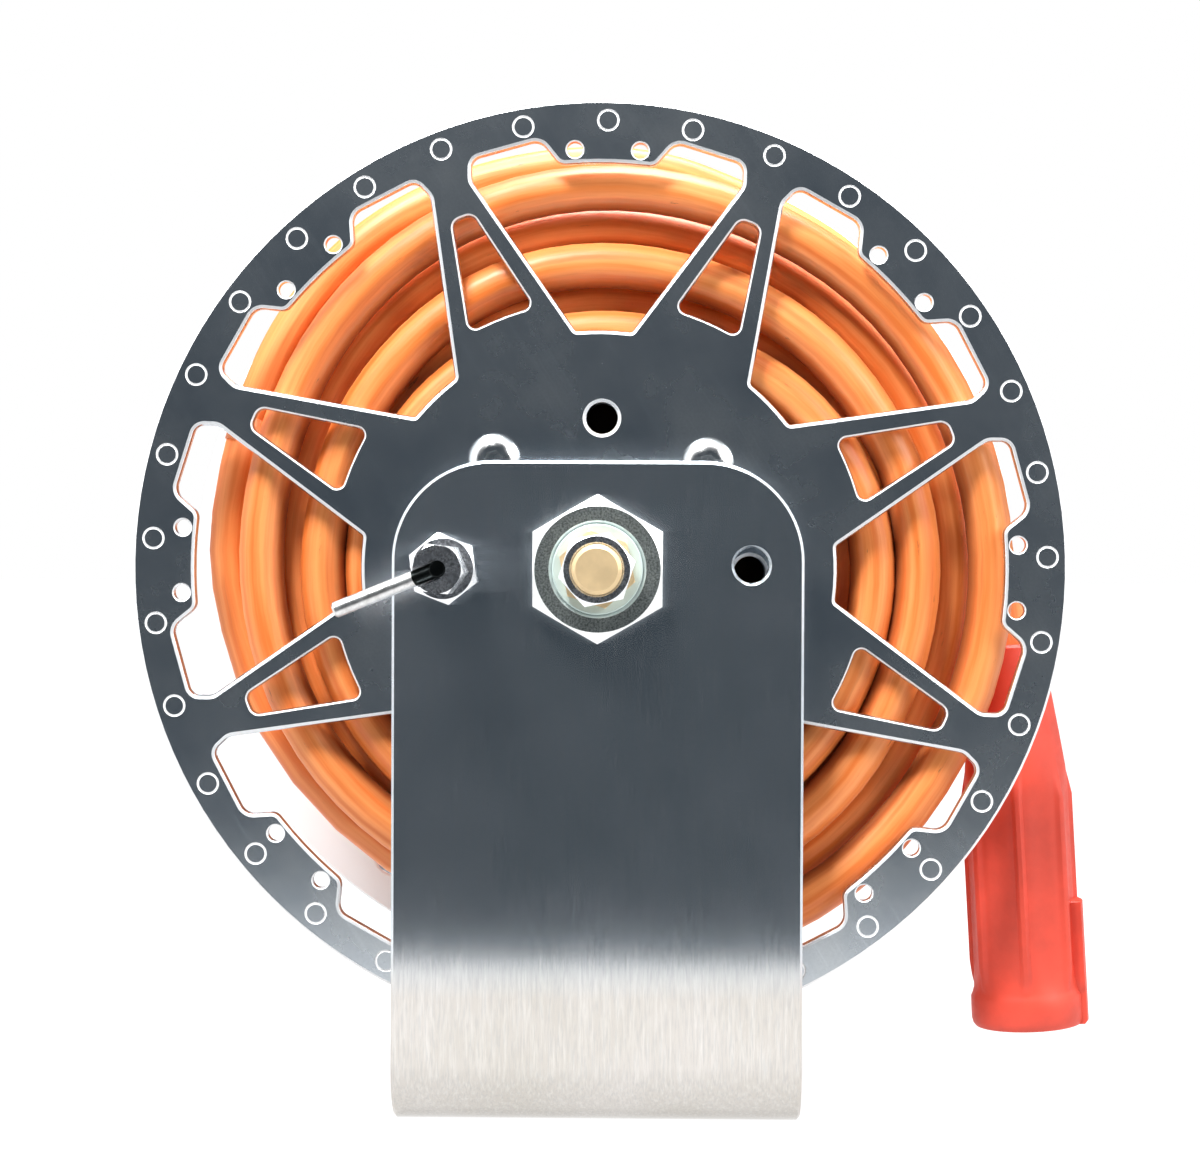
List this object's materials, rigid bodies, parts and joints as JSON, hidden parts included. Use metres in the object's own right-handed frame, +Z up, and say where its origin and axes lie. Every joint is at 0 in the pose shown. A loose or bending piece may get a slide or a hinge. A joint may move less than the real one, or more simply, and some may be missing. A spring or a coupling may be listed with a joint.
{
  "type": "cable reel",
  "caption": "Hand-turned reel of slotted round plates on a bent plate stand, wound with heavy welding lead, with a pull-pin latch and a hanging rubber connector.",
  "frame": {"origin": "centre of the stand's underside, on the surface it stands on", "axes": "+Z up, +X to the right seen from the latch side, -Y towards the viewer at the latch side; the axle lies along Y"},
  "size_m": [0.3189, 0.2335, 0.3324],
  "materials": {
    "disc_plate": "fine brushed plate with bright machined bevels",
    "stand_plate": "vertical brushed grain with bright bevels",
    "hub_plate": "machined",
    "zinc_steel": "clear zinc plate",
    "spring_steel": "drawn wire",
    "brass": "turned",
    "bronze": "sintered",
    "copper": "tinned copper",
    "nylon": "natural nylon",
    "insulating_board": "laminated board",
    "lead_jacket": "orange cable jacket, matt with long fine creases",
    "connector_rubber": "red moulded rubber"
  },
  "bodies": {
    "stand": {"spindle_front": "zinc_steel", "hub_jam_nut_front": "zinc_steel", "insulator_front": "nylon", "stud_jam_nut_front": "brass", "stud_lock_nut_front": "zinc_steel", "thrust_washer_front": "nylon", "spindle_rear": "zinc_steel", "hub_jam_nut_rear": "zinc_steel", "insulator_rear": "nylon", "stud_jam_nut_rear": "brass", "stud_lock_nut_rear": "zinc_steel", "thrust_washer_rear": "nylon", "stand_bracket": "stand_plate", "contact_stud": "brass", "latch_barrel": "zinc_steel", "latch_jam_nut": "zinc_steel", "latch_spring": "spring_steel", "lead_tail": "lead_jacket", "connector_boot": "connector_rubber", "connector_socket": "brass"},
    "reel": {"disc_front": "disc_plate", "hub_plate_front": "hub_plate", "hub_bush_front": "bronze", "disc_screws_front": "zinc_steel", "disc_rear": "disc_plate", "hub_plate_rear": "hub_plate", "hub_bush_rear": "bronze", "disc_screws_rear": "zinc_steel", "drum_tube": "hub_plate", "contact_carrier": "insulating_board", "contact_hub": "brass", "carrier_screws": "zinc_steel", "lead_lug": "copper", "lug_bolt": "zinc_steel", "inner_lead": "lead_jacket", "lead_coil": "lead_jacket"},
    "latch": {"latch_pin": "zinc_steel", "latch_handle": "zinc_steel"}
  },
  "joints": [
    {"name": "reel_spin", "type": "hinge", "parent": "stand", "child": "reel", "pos_m": [0, 0, 0.18], "axis": [0, 1, 0], "continuous": true},
    {"name": "latch_slide", "type": "slide", "parent": "stand", "child": "latch", "axis": [0, 1, 0], "range_m": [-0.006, 0.012], "stiffness_N_per_m": 120, "springref_m": 0.012, "deforming": ["latch_spring"]}
  ]
}
